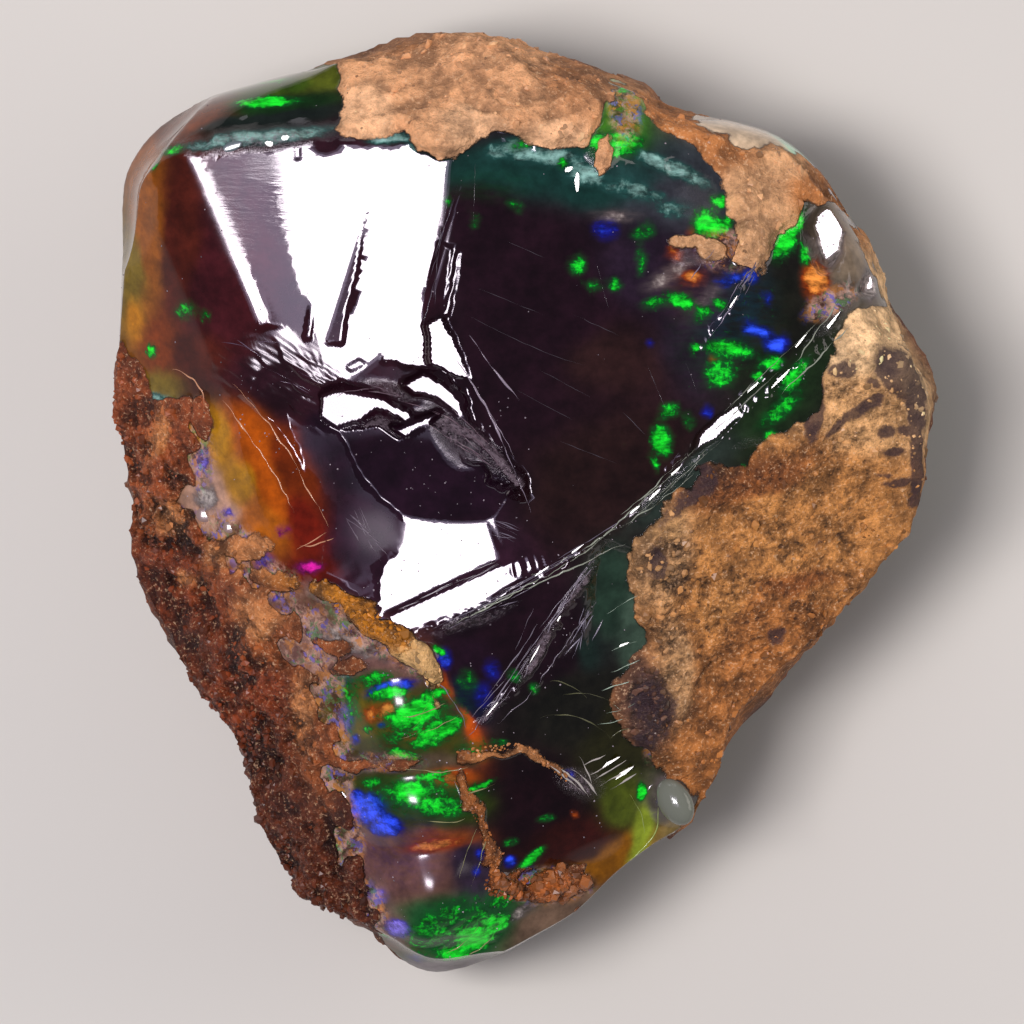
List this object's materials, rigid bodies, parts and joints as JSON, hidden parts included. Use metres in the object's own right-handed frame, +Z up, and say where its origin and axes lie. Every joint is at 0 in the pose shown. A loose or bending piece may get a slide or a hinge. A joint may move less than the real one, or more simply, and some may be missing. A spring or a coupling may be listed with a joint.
{
  "type": "rough fire opal",
  "caption": "Rough precious opal nodule with glassy fracture faces, grown-on host rock and a flat face to rest on.",
  "frame": {"origin": "on the flat resting face, under the middle of the stone's widest outline", "axes": "+Z up from the resting face to the broken glassy face, +Y along the stone's length to its blunt rock-covered end"},
  "size_m": [0.0394, 0.0451, 0.0232],
  "materials": {
    "opal_and_host_rock": "glassy dark opal on the broken faces, rough brown host rock around them"
  },
  "bodies": {
    "root": {"opal_nodule": "opal_and_host_rock"}
  },
  "joints": []
}
